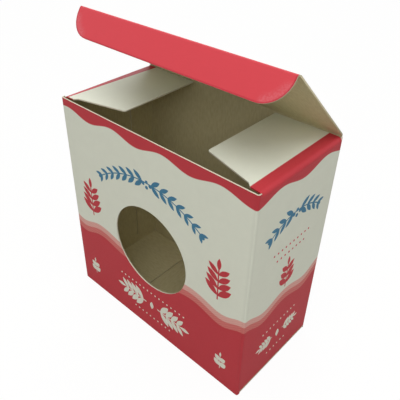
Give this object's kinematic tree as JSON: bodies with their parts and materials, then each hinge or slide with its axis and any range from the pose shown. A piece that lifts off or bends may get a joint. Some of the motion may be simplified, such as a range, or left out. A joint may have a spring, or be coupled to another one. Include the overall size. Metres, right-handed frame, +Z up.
{
  "type": "tuck end carton",
  "caption": "Small upright tuck end carton of folding boxboard with a round front window, top lid standing open, dust flaps and tuck flaps that fold.",
  "frame": {"origin": "centre of the carton's base, on the surface it stands on", "axes": "+Z up; the window panel faces -Y; the lids hinge on the back panel at +Y; +X to the viewer's right from the front"},
  "size_m": [0.09, 0.045, 0.1218],
  "materials": {
    "printed_board": "coated white boxboard with red print, grey-brown uncoated inside",
    "lid_board": "coated boxboard printed red outside, grey-brown uncoated inside"
  },
  "bodies": {
    "carton": {"carton_body": "printed_board"},
    "lid": {"lid": "lid_board"},
    "tuck_flap": {"tuck_flap": "lid_board"},
    "dust_flap_left": {"dust_flap_left": "printed_board"},
    "dust_flap_right": {"dust_flap_right": "printed_board"},
    "bottom_lid": {"bottom_lid": "lid_board"}
  },
  "joints": [
    {"name": "lid_hinge", "type": "hinge", "parent": "carton", "child": "lid", "pos_m": [0, 0.02225, 0.09175], "axis": [-1, 0, 0], "range_deg": [-43, 137]},
    {"name": "tuck_fold", "type": "hinge", "parent": "lid", "child": "tuck_flap", "pos_m": [0, -0.00971, 0.12155], "axis": [1, 0, 0], "range_deg": [-96.7, 23.3]},
    {"name": "dust_left_fold", "type": "hinge", "parent": "carton", "child": "dust_flap_left", "pos_m": [-0.0442, 0, 0.09095], "axis": [0, 1, 0], "range_deg": [0, 75]},
    {"name": "dust_right_fold", "type": "hinge", "parent": "carton", "child": "dust_flap_right", "pos_m": [0.0442, 0, 0.09095], "axis": [0, -1, 0], "range_deg": [0, 75]},
    {"name": "bottom_lid_hinge", "type": "hinge", "parent": "carton", "child": "bottom_lid", "pos_m": [0, 0.02225, 0.00025], "axis": [1, 0, 0], "range_deg": [0, 170]}
  ]
}
